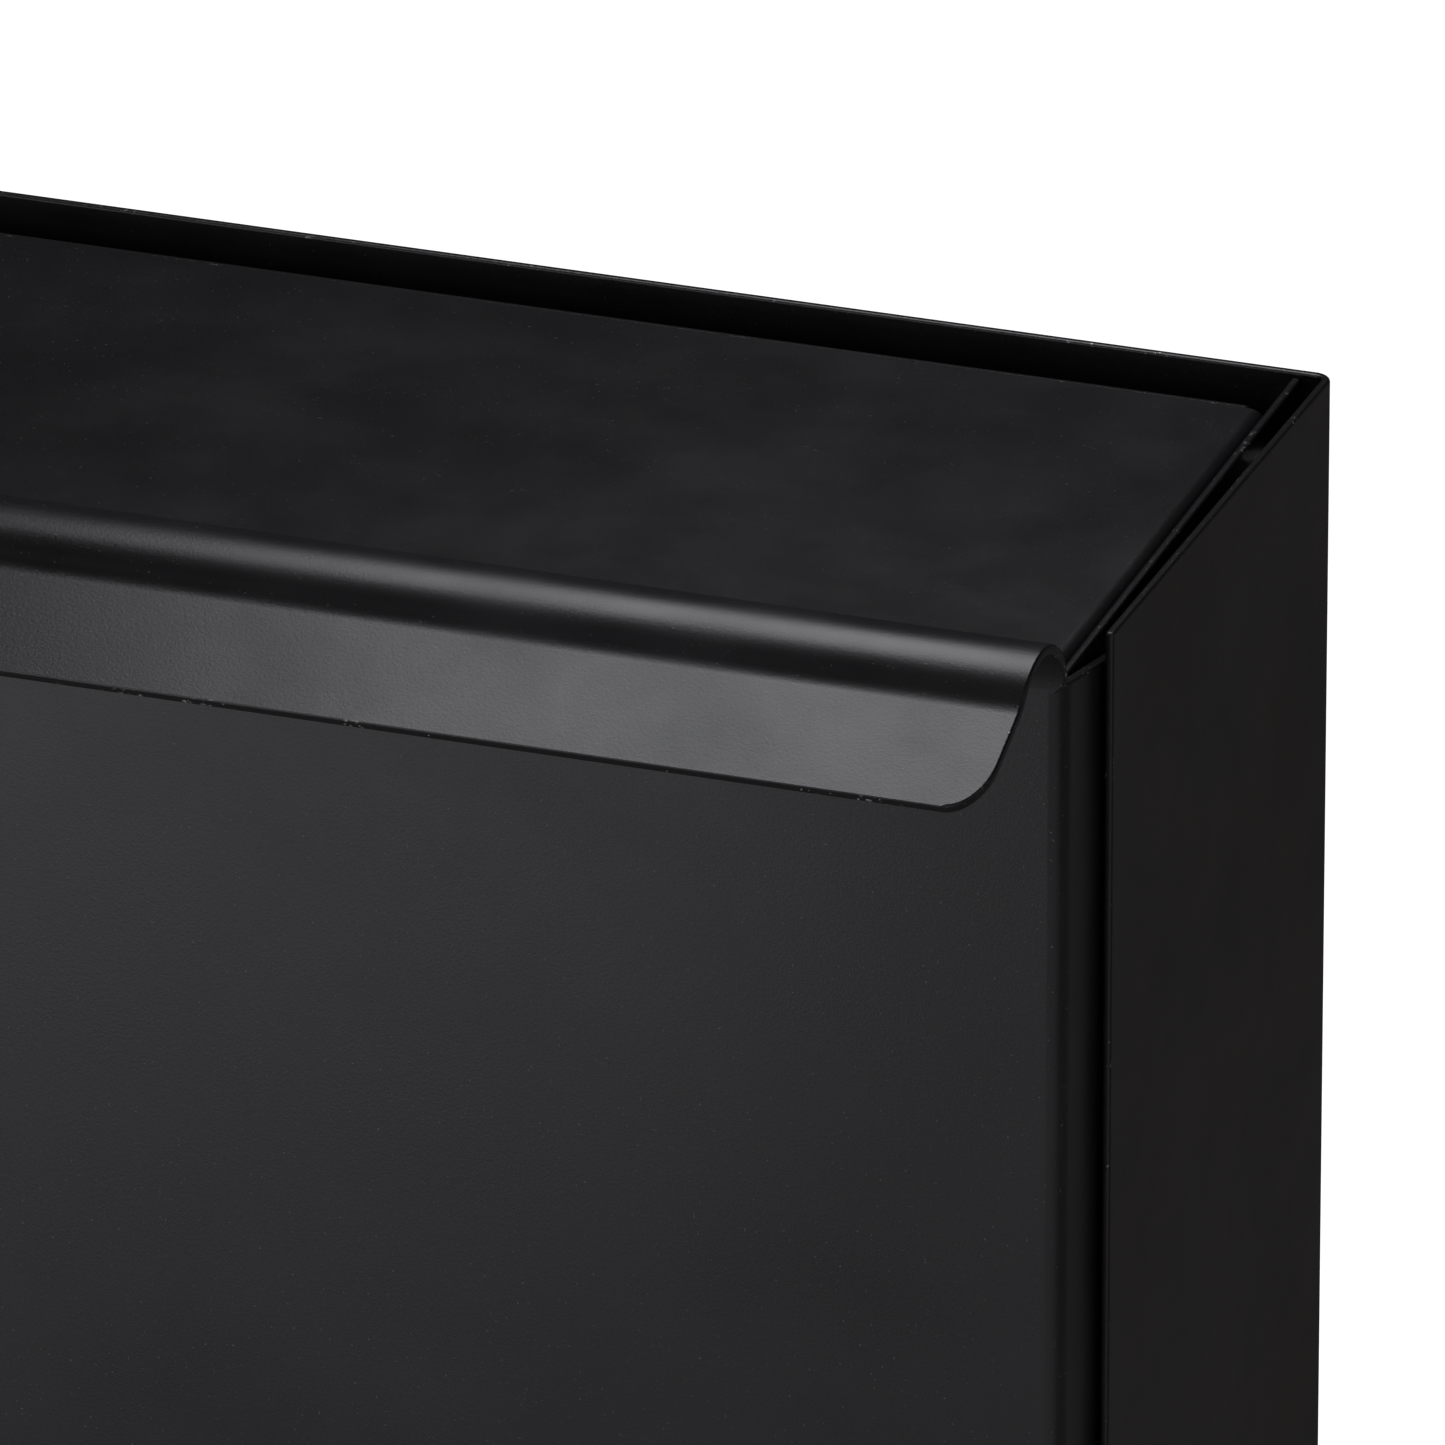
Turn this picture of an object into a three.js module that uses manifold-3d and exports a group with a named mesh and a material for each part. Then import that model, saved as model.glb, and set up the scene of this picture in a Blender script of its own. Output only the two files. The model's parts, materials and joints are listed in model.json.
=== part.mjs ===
// Wall mounted mailbox of folded sheet steel, in millimetres.
// X runs to the right as the box is faced, -Y to the front, +Y to the wall, +Z up.
// The origin is the middle of the back sheet's wall face.
import * as THREE from 'three';
import { mergeVertices } from 'three/addons/utils/BufferGeometryUtils.js';
import Module from 'manifold-3d';

const wasm = await Module();
wasm.setup();

// Overall sizes and sheets
const shellWidth = 360;
const shellHeight = 290;
const shellDepth = 90;
const shellSheet = 1.2;
const bodySheet = 1.2;
const railSheet = 1.2;
const lidSheet = 1.2;
const doorSheet = 1.5;
const foldRadius = 2.5; // outside radius of a sharp fold

// Clearances
const touchGap = 0.3; // pieces that rest on each other
const shaftGap = 0.05; // radial play of a pin that something turns on
const holeGap = 0.1; // radial play of a pin in a sheet hole
const shellDoorGap = 0.8; // shell wall to door flange
const doorBodyGap = 0.7; // door flange to body wall
const bodyLidGap = 1.1; // body wall to lid flange
const bodyFrontGap = 2; // body front edges to door sheet
const lidFrontGap = 3; // lid front edge to door sheet
const lidRearGap = 5.3; // lid rear edge to back sheet
const floorGap = 0.5; // door's bottom return to body floor
const stopGap = 0.6; // door's bottom return to body floor with the door open

// Door
const doorStandoff = 13; // door face in front of the shell's front edges
const doorFlange = 25;
const rollDrop = 3.9; // roll starts this far below the shell's top edge
const flangeDrop = 2.4; // flange top at the door face, below the shell's top edge
const flangeFall = 0.187; // flange top edge falls this much for each unit to the rear
const rollRadius = 10.4;
const rollTurn = 138;
const lipRadius = 7.9;
const lipTurn = 23.7;
const lipLength = 16.6;
const lipCornerWidth = 5;
const lipCornerDepth = 7.5;
const doorHingeInset = 6; // hinge axis behind the shell's front edges

// Inner body
const bodyTopDrop = 0.6; // at the rear
const frontReturn = 12;
const frontReturnDrop = 24; // below the shell's top edge
const floorLip = 10;
const rearFlange = 22;
const rearFlangeDrop = 30;

// Lid
const lidDrop = 2.6; // lid top below the shell's top edge, at the rear
const rainFall = 0.033; // lid and body tops fall this much for each unit to the front
const lidFlange = 13.5;
const lidFrontFlange = 12;
const lidRearFlange = 5;
const lidHingeFall = 8; // hinge axis below the lid's top face
const lidHingeInset = 5.5; // hinge axis in front of the lid's rear edge
const notchWidth = 90;
const notchDepth = 10;

// Front rail, catches and rubber pads
const railDepth = 14;
const railHeight = 22;
const padWidth = 14;
const padDepth = 4.4;
const padHeight = 2.2;
const padPlace = 140;
const catchPlace = 110;
const catchWidth = 36;
const catchHeight = 12;
const magnetWidth = 28;
const magnetDepth = 4;
const magnetHeight = 7;
const bufferRadius = 4;
const bufferPlace = 70;

// Pins, bushes, clips and fasteners
const doorPinRadius = 2.5;
const lidPinRadius = 2;
const pinHeadRise = 1.5;
const pinHeadGrowth = 2; // head radius beyond the pin's
const pinTail = 5; // pin beyond the innermost sheet
const clipWidth = 1;
const clipGrowth = 2;
const washerWidth = 0.6;
const washerGrowth = 3;
const bushWall = 1.5;
const bushFlange = 0.4;
const bushFlangeGrowth = 2;
const rivetRadius = 1.6;
const rivetHeadGrowth = 1.6;
const rivetHeadRise = 1;
const rivetDepth = 6;
const studRadius = 2.5;
const studLength = 9.5;
const studInset = 20; // below the rear flange's top end
const studRise = 50; // above the shell's bottom edge
const nutFlats = 8;
const nutHeight = 4;
const wallHoleRadius = 3.5;
const wallHoleAcross = 240;
const wallHoleUp = 210;
const drainRadius = 3;
const drainSpacing = 60;
const drainCount = 5;

// Places worked out from the sizes above
const shellTop = shellHeight / 2;
const shellBottom = -shellHeight / 2;
const shellInside = shellWidth / 2 - shellSheet;
const doorHalf = shellInside - shellDoorGap;
const doorFace = -shellDepth - doorStandoff;
const doorBack = doorFace + doorSheet;
const rollStartZ = shellTop - rollDrop;
const flangeTop = shellTop - flangeDrop;
const doorRear = doorFace + doorFlange;
const bodyHalf = doorHalf - doorSheet - doorBodyGap;
const bodyInside = bodyHalf - bodySheet;
const bodyFront = doorBack + bodyFrontGap;
const bodyRear = -shellSheet - touchGap;
const bodyTop = shellTop - bodyTopDrop;
const floorUnder = shellBottom + doorSheet + floorGap;
const floorTop = floorUnder + bodySheet;
const clipRadius = doorPinRadius + clipGrowth;
const doorHinge = { y: -shellDepth + doorHingeInset, z: floorTop + foldRadius - bodySheet + clipRadius };
const lidHalf = bodyInside - bodyLidGap;
const lidTop = shellTop - lidDrop;
const lidFront = doorBack + lidFrontGap;
const lidRear = -shellSheet - lidRearGap;
const lidFrontTop = lidTop - rainFall * (lidRear - lidFront);
const lidHinge = { y: lidRear - lidHingeInset, z: lidTop - lidHingeFall };
const railTop = lidFrontTop - lidFrontFlange - padHeight - 2 * touchGap;
const railFront = bodyFront;
const railRear = railFront + railDepth;
const studAcross = bodyInside - rearFlange / 2;

// Colours
const blackCoat = { color: 0x26262a, roughness: 0.45, metalness: 0.1 };
const stainless = { color: 0xb4b6b8, roughness: 0.35, metalness: 0.9 };
const zinc = { color: 0x9fa3a6, roughness: 0.45, metalness: 0.85 };
const ferrite = { color: 0x3a3a3c, roughness: 0.6, metalness: 0.4 };
const whiteNylon = { color: 0xe4e2da, roughness: 0.6, metalness: 0 };
const blackRubber = { color: 0x161617, roughness: 0.9, metalness: 0 };
const blackPlastic = { color: 0x1b1b1d, roughness: 0.6, metalness: 0 };

const mailbox = new THREE.Group();

function addPiece(name, geometry, finish) {
  const piece = new THREE.Mesh(geometry, new THREE.MeshStandardMaterial(finish));
  piece.name = name;
  mailbox.add(piece);
}

// Directions that a flat outline is set up in: its own x, its own y, and the way it is extruded.
const X = new THREE.Vector3(1, 0, 0);
const Y = new THREE.Vector3(0, 1, 0);
const Z = new THREE.Vector3(0, 0, 1);
const forward = Y.clone().negate();

function extrudeFrom(shape, length, axes, offset) {
  const geometry = new THREE.ExtrudeGeometry(shape, { depth: length, bevelEnabled: false });
  geometry.applyMatrix4(new THREE.Matrix4().makeBasis(...axes));
  return geometry.translate(...offset);
}

const upFromPlan = (shape, low, high) => extrudeFrom(shape, high - low, [X, Y, Z], [0, 0, low]);
const acrossFromSide = (shape, left, right) => extrudeFrom(shape, right - left, [Y, Z, X], [left, 0, 0]);
const forwardFromFront = (shape, rear, front) => extrudeFrom(shape, rear - front, [X, Z, forward], [0, rear, 0]);

function box(low, high) {
  const size = high.map((value, i) => value - low[i]);
  const middle = high.map((value, i) => (value + low[i]) / 2);
  return new THREE.BoxGeometry(...size).translate(...middle);
}

// A rod of round section along X or Y
function rod(radius, axis, from, to, place) {
  const geometry = new THREE.CylinderGeometry(radius, radius, Math.abs(to - from), 24);
  if (axis === 'x') geometry.rotateZ(-Math.PI / 2).translate((from + to) / 2, place.y, place.z);
  if (axis === 'y') geometry.translate(place.x, (from + to) / 2, place.z);
  if (axis === 'z') geometry.rotateX(Math.PI / 2).translate(place.x, place.y, (from + to) / 2);
  return geometry;
}

function toSolid(geometry) {
  const bare = geometry.clone();
  bare.deleteAttribute('normal');
  bare.deleteAttribute('uv');
  const merged = mergeVertices(bare);
  const vertProperties = new Float32Array(merged.attributes.position.array);
  const triVerts = new Uint32Array(merged.index.array);
  return new wasm.Manifold(new wasm.Mesh({ numProp: 3, vertProperties, triVerts }));
}

function toGeometry(solid) {
  const mesh = solid.getMesh();
  const geometry = new THREE.BufferGeometry();
  geometry.setAttribute('position', new THREE.BufferAttribute(mesh.vertProperties, 3));
  geometry.setIndex(new THREE.BufferAttribute(mesh.triVerts, 1));
  return geometry;
}

function join(first, ...others) {
  return toGeometry(others.reduce((sum, other) => sum.add(toSolid(other)), toSolid(first)));
}

function cut(first, ...tools) {
  return toGeometry(tools.reduce((rest, tool) => rest.subtract(toSolid(tool)), toSolid(first)));
}

function keepInside(first, limit) {
  return toGeometry(toSolid(first).intersect(toSolid(limit)));
}

// Section of a folded sheet: a strip of even thickness along straight runs and round folds.
// Each step is a run, or a turn in degrees (left is positive) at an outside radius.
function foldedStrip(start, heading, thickness, steps) {
  const half = thickness / 2;
  const left = [];
  const right = [];
  let { x, y } = start;
  let angle = THREE.MathUtils.degToRad(heading);
  const mark = () => {
    left.push(new THREE.Vector2(x - half * Math.sin(angle), y + half * Math.cos(angle)));
    right.push(new THREE.Vector2(x + half * Math.sin(angle), y - half * Math.cos(angle)));
  };
  mark();
  for (const step of steps) {
    if (step.run) {
      x += step.run * Math.cos(angle);
      y += step.run * Math.sin(angle);
      mark();
    } else {
      const pieces = Math.ceil(Math.abs(step.turn) / 15);
      const part = THREE.MathUtils.degToRad(step.turn) / pieces;
      const chord = 2 * (step.radius - half) * Math.sin(Math.abs(part) / 2);
      for (let i = 0; i < pieces; i += 1) {
        x += chord * Math.cos(angle + part / 2);
        y += chord * Math.sin(angle + part / 2);
        angle += part;
        mark();
      }
    }
  }
  return new THREE.Shape([...left.reverse(), ...right]);
}

// A piece turned about the X axis: profile points are distance along the axis and radius.
function turnedAlongX(profile, place, mirrored) {
  const points = profile.map(([along, radius]) => new THREE.Vector2(radius, along));
  const geometry = new THREE.LatheGeometry(points, 24);
  geometry.rotateZ(mirrored ? Math.PI / 2 : -Math.PI / 2);
  return geometry.translate(0, place.y, place.z);
}

// A piece turned about the Y axis, its profile running to the rear.
function turnedAlongY(profile, place) {
  const points = profile.map(([along, radius]) => new THREE.Vector2(radius, along));
  return new THREE.LatheGeometry(points, 24).translate(place.x, 0, place.z);
}

function ring(inside, outside, from, to) {
  return [[from, inside], [from, outside], [to, outside], [to, inside], [from, inside]];
}

const sides = [
  { name: 'right', sign: 1 },
  { name: 'left', sign: -1 },
];

// A hole through both side sheets at the same place
function crossHoles(radius, place) {
  return rod(radius, 'x', -shellWidth, shellWidth, place);
}

// Outer shell: one sheet folded round the back and both sides, with four holes for wall screws
function outerShell() {
  const middle = shellWidth / 2 - shellSheet / 2;
  const steps = [
    { run: shellDepth - foldRadius },
    { turn: -90, radius: foldRadius },
    { run: shellWidth - 2 * foldRadius },
    { turn: -90, radius: foldRadius },
    { run: shellDepth - foldRadius },
  ];
  const section = foldedStrip({ x: -middle, y: -shellDepth }, 90, shellSheet, steps);
  const sheet = upFromPlan(section, shellBottom, shellTop);
  const wallHoles = [];
  for (const across of [-1, 1]) {
    for (const up of [-1, 1]) {
      const place = { x: (across * wallHoleAcross) / 2, z: (up * wallHoleUp) / 2 };
      wallHoles.push(rod(wallHoleRadius, 'y', -shellSheet - 1, 1, place));
    }
  }
  return cut(sheet, ...wallHoles, crossHoles(doorPinRadius + holeGap, doorHinge));
}

// Inner body: floor and side walls of one sheet, turned in at the front and at the rear
function innerBody() {
  const middle = bodyHalf - bodySheet / 2;
  const wall = bodyTop - floorUnder - foldRadius;
  const steps = [
    { run: wall },
    { turn: 90, radius: foldRadius },
    { run: 2 * (bodyHalf - foldRadius) },
    { turn: 90, radius: foldRadius },
    { run: wall },
  ];
  const section = foldedStrip({ x: -middle, y: bodyTop }, -90, bodySheet, steps);
  const trough = forwardFromFront(section, bodyRear, bodyFront);
  const seat = bodySheet / 2;
  const joined = [
    box([-bodyInside, bodyFront, floorUnder + seat], [bodyInside, bodyFront + bodySheet, floorTop + floorLip]),
    box([-bodyInside, bodyRear - bodySheet, floorUnder + seat], [bodyInside, bodyRear, floorTop + rearFlange]),
  ];
  for (const { sign } of sides) {
    const front = [bodyInside + seat, bodyInside - frontReturn].map((x) => x * sign).sort((a, b) => a - b);
    const rear = [bodyInside + seat, bodyInside - rearFlange].map((x) => x * sign).sort((a, b) => a - b);
    const frontTop = shellTop - frontReturnDrop;
    const rearTop = shellTop - rearFlangeDrop;
    joined.push(box([front[0], bodyFront, floorTop], [front[1], bodyFront + bodySheet, frontTop]));
    joined.push(box([rear[0], bodyRear - bodySheet, floorTop], [rear[1], bodyRear, rearTop]));
  }
  const corner = acrossFromSide(floorCorner(), -bodyHalf - 1, bodyHalf + 1);
  const slope = acrossFromSide(bodyTopFall(), -bodyHalf - 1, bodyHalf + 1);
  const holes = [corner, slope, crossHoles(doorPinRadius + holeGap, doorHinge), crossHoles(lidPinRadius + holeGap, lidHinge)];
  for (const place of studPlaces()) {
    holes.push(rod(studRadius + holeGap, 'y', bodyRear - bodySheet - 1, bodyRear + touchGap / 2, place));
  }
  for (let i = 0; i < drainCount; i += 1) {
    const place = { x: (i - (drainCount - 1) / 2) * drainSpacing, y: bodyFront / 2 };
    holes.push(rod(drainRadius, 'z', floorUnder - 1, floorTop + 1, place));
  }
  return cut(join(trough, ...joined), ...holes);
}

// The body's side walls fall to the front along their top edges.
function bodyTopFall() {
  const frontTop = bodyTop - rainFall * (bodyRear - bodyFront);
  return new THREE.Shape([
    new THREE.Vector2(bodyFront - 1, frontTop),
    new THREE.Vector2(bodyFront, frontTop),
    new THREE.Vector2(bodyRear, bodyTop),
    new THREE.Vector2(bodyRear + 1, bodyTop + 1),
    new THREE.Vector2(bodyFront - 1, bodyTop + 1),
  ]);
}

// The body's lower front corner is cut off at a slant, so the door's fold swings past it.
function floorCorner() {
  const cutBack = bodySheet / 2;
  return new THREE.Shape([
    new THREE.Vector2(bodyFront - 1, floorUnder - 1),
    new THREE.Vector2(bodyFront + cutBack, floorUnder - 1),
    new THREE.Vector2(bodyFront + cutBack, floorUnder),
    new THREE.Vector2(bodyFront, floorUnder + cutBack),
    new THREE.Vector2(bodyFront - 1, floorUnder + cutBack),
  ]);
}

function studPlaces() {
  const places = [];
  for (const across of [1, -1]) {
    places.push({ x: across * studAcross, z: shellTop - rearFlangeDrop - studInset });
    places.push({ x: across * studAcross, z: shellBottom + studRise });
  }
  return places;
}

// Front rail: an angle across the top of the front, which carries the catches and the lid's pads
function frontRail() {
  const steps = [
    { run: railHeight - foldRadius },
    { turn: 90, radius: foldRadius },
    { run: railDepth - foldRadius },
  ];
  const start = { x: railRear - railSheet / 2, y: railTop - railHeight };
  const section = foldedStrip(start, 90, railSheet, steps);
  const half = bodyInside - touchGap;
  const holes = sides.map(({ sign }) => rivetHole(sign));
  return cut(acrossFromSide(section, -half, half), ...holes);
}

const catchTop = railTop - foldRadius - touchGap;
const catchBottom = catchTop - catchHeight;
const catchRear = railRear - railSheet - touchGap;
const catchMiddle = (catchTop + catchBottom) / 2;

function rivetHole(sign) {
  const place = { x: sign * catchPlace, z: catchMiddle };
  return rod(rivetRadius + holeGap, 'y', catchRear - rivetDepth - touchGap, railRear + 1, place);
}

function addCatch({ name, sign }) {
  const middle = sign * catchPlace;
  const pocket = [magnetWidth / 2 + holeGap, magnetHeight / 2 + holeGap];
  const pocketRear = railFront + magnetDepth;
  const block = box(
    [middle - catchWidth / 2, railFront, catchBottom],
    [middle + catchWidth / 2, catchRear, catchTop],
  );
  const recess = box(
    [middle - pocket[0], railFront - 1, catchMiddle - pocket[1]],
    [middle + pocket[0], pocketRear, catchMiddle + pocket[1]],
  );
  addPiece(`catch_housing_${name}`, cut(block, recess, rivetHole(sign)), blackPlastic);
  const magnet = box(
    [middle - magnetWidth / 2, pocketRear - touchGap - magnetDepth, catchMiddle - magnetHeight / 2],
    [middle + magnetWidth / 2, pocketRear - touchGap, catchMiddle + magnetHeight / 2],
  );
  addPiece(`catch_magnet_${name}`, magnet, ferrite);
  const headFrom = railRear + touchGap;
  const rivet = [
    [catchRear - rivetDepth, 0],
    [catchRear - rivetDepth, rivetRadius],
    [headFrom, rivetRadius],
    [headFrom, rivetRadius + rivetHeadGrowth],
    [headFrom + rivetHeadRise / 2, rivetRadius + rivetHeadGrowth],
    [headFrom + rivetHeadRise, rivetRadius],
    [headFrom + rivetHeadRise, 0],
  ];
  addPiece(`catch_rivet_${name}`, turnedAlongY(rivet, { x: middle, z: catchMiddle }), zinc);
}

function addLidPad({ name, sign }) {
  const middle = lidFront + lidSheet / 2;
  const pad = box(
    [sign * padPlace - padWidth / 2, middle - padDepth / 2, railTop + touchGap],
    [sign * padPlace + padWidth / 2, middle + padDepth / 2, railTop + touchGap + padHeight],
  );
  addPiece(`lid_pad_${name}`, pad, blackRubber);
}

function addDoorBuffer({ name, sign }) {
  const rear = bodyFront - touchGap;
  const front = doorBack + touchGap;
  const place = { x: sign * (bodyInside - frontReturn / 2), z: bufferPlace };
  const disc = [
    [front, 0],
    [front, bufferRadius * 0.7],
    [(front + rear) / 2, bufferRadius],
    [rear, bufferRadius],
    [rear, 0],
  ];
  addPiece(`door_buffer_${name}`, turnedAlongY(disc, place), blackRubber);
}

// Front door: panel and side flanges of one sheet, a return at the bottom, and a top edge
// that rolls forward over a crest and flares out as a lip for the fingers
function frontDoor() {
  const middle = doorHalf - doorSheet / 2;
  const flange = doorFlange - foldRadius;
  const panelSteps = [
    { run: flange },
    { turn: 90, radius: foldRadius },
    { run: 2 * (doorHalf - foldRadius) },
    { turn: 90, radius: foldRadius },
    { run: flange },
  ];
  const panelSection = foldedStrip({ x: -middle, y: doorRear }, -90, doorSheet, panelSteps);
  const panel = upFromPlan(panelSection, shellBottom + foldRadius, flangeTop);

  const overlap = 0.5;
  const rollSteps = [
    { run: overlap },
    { turn: rollTurn, radius: rollRadius },
    { turn: -lipTurn, radius: lipRadius },
    { run: lipLength },
  ];
  const rollStart = { x: doorFace + doorSheet / 2, y: rollStartZ - overlap };
  const rollSection = foldedStrip(rollStart, 90, doorSheet, rollSteps);
  const roll = acrossFromSide(rollSection, -doorHalf, doorHalf);

  const returnTip = doorHinge.y - (doorHinge.z - floorUnder) - stopGap;
  const returnSteps = [
    { run: returnTip - doorFace - foldRadius },
    { turn: -90, radius: foldRadius },
    { run: overlap },
  ];
  const returnStart = { x: returnTip, y: shellBottom + doorSheet / 2 };
  const returnSection = foldedStrip(returnStart, 180, doorSheet, returnSteps);
  const returnHalf = doorHalf - foldRadius - doorSheet;
  const bottomReturn = acrossFromSide(returnSection, -returnHalf, returnHalf);

  const rearTop = flangeTop - flangeFall * (doorRear - doorBack);
  const fall = new THREE.Shape([
    new THREE.Vector2(doorBack, flangeTop),
    new THREE.Vector2(doorRear, rearTop),
    new THREE.Vector2(doorRear + 1, rearTop),
    new THREE.Vector2(doorRear + 1, flangeTop + 1),
    new THREE.Vector2(doorBack, flangeTop + 1),
  ]);
  const flangeTops = acrossFromSide(fall, -shellWidth, shellWidth);
  const bushHoles = crossHoles(doorPinRadius + shaftGap + bushWall + holeGap, doorHinge);
  const lipped = keepInside(roll, upFromPlan(lipOutline(roll), shellBottom, 2 * shellTop));
  return join(cut(panel, flangeTops, bushHoles), lipped, bottomReturn);
}

// Plan of the lip, with its two free corners rounded as quarter ellipses
function lipOutline(roll) {
  roll.computeBoundingBox();
  const front = roll.boundingBox.min.y;
  const outline = new THREE.Shape();
  outline.moveTo(-doorHalf - 1, doorRear);
  outline.lineTo(-doorHalf - 1, front + lipCornerDepth);
  outline.lineTo(-doorHalf, front + lipCornerDepth);
  const across = doorHalf - lipCornerWidth;
  outline.absellipse(-across, front + lipCornerDepth, lipCornerWidth, lipCornerDepth, Math.PI, Math.PI * 1.5);
  outline.absellipse(across, front + lipCornerDepth, lipCornerWidth, lipCornerDepth, Math.PI * 1.5, Math.PI * 2);
  outline.lineTo(doorHalf + 1, front + lipCornerDepth);
  outline.lineTo(doorHalf + 1, doorRear);
  return outline;
}

// Lid: a tray turned down at the sides, front and rear, with a finger notch in its front edge
function lid() {
  const middle = lidHalf - lidSheet / 2;
  const steps = [
    { run: lidFlange - foldRadius },
    { turn: -90, radius: foldRadius },
    { run: 2 * (lidHalf - foldRadius) },
    { turn: -90, radius: foldRadius },
    { run: lidFlange - foldRadius },
  ];
  const section = foldedStrip({ x: -middle, y: lidTop - lidFlange }, 90, lidSheet, steps);
  const tray = forwardFromFront(section, lidRear, lidFront);
  const half = lidHalf - foldRadius;
  const top = lidTop - lidSheet / 2;
  const frontEdge = box([-half, lidFront, lidTop - lidFrontFlange], [half, lidFront + lidSheet, top]);
  const rearEdge = box([-half, lidRear - lidSheet, lidTop - lidRearFlange], [half, lidRear, top]);
  const notch = box(
    [-notchWidth / 2, lidFront - 1, lidTop - lidFlange],
    [notchWidth / 2, lidFront + notchDepth, lidTop + 1],
  );
  const level = cut(join(tray, frontEdge, rearEdge), notch);
  const fall = new THREE.Matrix4().set(1, 0, 0, 0, 0, 1, 0, 0, 0, rainFall, 1, -rainFall * lidRear, 0, 0, 0, 1);
  return cut(level.applyMatrix4(fall), crossHoles(lidPinRadius + holeGap, lidHinge));
}

// Door hinge: a headed pin through shell, door flange and body wall, in a bush snapped into the flange
function addDoorHinge({ name, sign }) {
  const mirrored = sign < 0;
  const headFrom = shellWidth / 2 + touchGap;
  const headRadius = doorPinRadius + pinHeadGrowth;
  const pin = [
    [bodyInside - pinTail, 0],
    [bodyInside - pinTail, doorPinRadius],
    [headFrom, doorPinRadius],
    [headFrom, headRadius],
    [headFrom + pinHeadRise / 2, headRadius],
    [headFrom + pinHeadRise, headRadius / 2],
    [headFrom + pinHeadRise, 0],
  ];
  addPiece(`door_hinge_pin_${name}`, turnedAlongX(pin, doorHinge, mirrored), stainless);
  const bore = doorPinRadius + shaftGap;
  const barrel = bore + bushWall;
  const collar = barrel + bushFlangeGrowth;
  const sheetFrom = doorHalf - doorSheet;
  const play = 0.02;
  const bush = [
    [sheetFrom - bushFlange, bore],
    [sheetFrom - bushFlange, collar],
    [sheetFrom - play, collar],
    [sheetFrom - play, barrel],
    [doorHalf + play, barrel],
    [doorHalf + play, collar],
    [doorHalf + bushFlange, collar],
    [doorHalf + bushFlange, bore],
    [sheetFrom - bushFlange, bore],
  ];
  addPiece(`door_hinge_bush_${name}`, turnedAlongX(bush, doorHinge, mirrored), whiteNylon);
  const clipTo = bodyInside - touchGap;
  const clip = ring(doorPinRadius + shaftGap, clipRadius, clipTo - clipWidth, clipTo);
  addPiece(`door_hinge_clip_${name}`, turnedAlongX(clip, doorHinge, mirrored), stainless);
}

// Lid hinge: a headed pin in the body wall, a washer in the gap, and a push-on clip inside the lid
function addLidHinge({ name, sign }) {
  const mirrored = sign < 0;
  const headFrom = bodyHalf + touchGap;
  const headRadius = lidPinRadius + pinHeadGrowth;
  const lidFrom = lidHalf - lidSheet;
  const pin = [
    [lidFrom - pinTail, 0],
    [lidFrom - pinTail, lidPinRadius],
    [headFrom, lidPinRadius],
    [headFrom, headRadius],
    [headFrom + pinHeadRise, headRadius],
    [headFrom + pinHeadRise, 0],
  ];
  addPiece(`lid_hinge_pin_${name}`, turnedAlongX(pin, lidHinge, mirrored), stainless);
  const washerFrom = lidHalf + (bodyLidGap - washerWidth) / 2;
  const bore = lidPinRadius + shaftGap;
  const washer = ring(bore, lidPinRadius + washerGrowth, washerFrom, washerFrom + washerWidth);
  addPiece(`lid_hinge_washer_${name}`, turnedAlongX(washer, lidHinge, mirrored), whiteNylon);
  const clipTo = lidFrom - touchGap;
  const clip = ring(bore, lidPinRadius + clipGrowth, clipTo - clipWidth, clipTo);
  addPiece(`lid_hinge_clip_${name}`, turnedAlongX(clip, lidHinge, mirrored), stainless);
}

// Studs welded inside the back, with a nut each, that hold the body to the shell
function addStuds() {
  studPlaces().forEach((place, i) => {
    const rear = -shellSheet - touchGap;
    const stud = [
      [rear - studLength, 0],
      [rear - studLength, studRadius - 0.5],
      [rear - studLength + 0.5, studRadius],
      [rear, studRadius],
      [rear, 0],
    ];
    addPiece(`body_stud_${i + 1}`, turnedAlongY(stud, place), zinc);
    const corner = nutFlats / 2 / Math.cos(Math.PI / 6);
    const points = [];
    for (let side = 0; side < 6; side += 1) {
      const angle = (side * Math.PI) / 3;
      points.push(new THREE.Vector2(corner * Math.cos(angle), corner * Math.sin(angle)));
    }
    const outline = new THREE.Shape(points);
    outline.holes.push(new THREE.Path().absarc(0, 0, studRadius + holeGap, 0, Math.PI * 2));
    const nutRear = bodyRear - bodySheet - touchGap;
    const nut = forwardFromFront(outline, nutRear, nutRear - nutHeight).translate(place.x, 0, place.z);
    addPiece(`body_nut_${i + 1}`, nut, zinc);
  });
}

addPiece('outer_shell', outerShell(), blackCoat);
addPiece('inner_body', innerBody(), blackCoat);
addPiece('front_rail', frontRail(), blackCoat);
addPiece('front_door', frontDoor(), blackCoat);
addPiece('lid', lid(), blackCoat);
for (const side of sides) {
  addDoorHinge(side);
  addLidHinge(side);
  addCatch(side);
  addLidPad(side);
  addDoorBuffer(side);
}
addStuds();

export default mailbox;
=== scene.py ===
import json
import math

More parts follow.
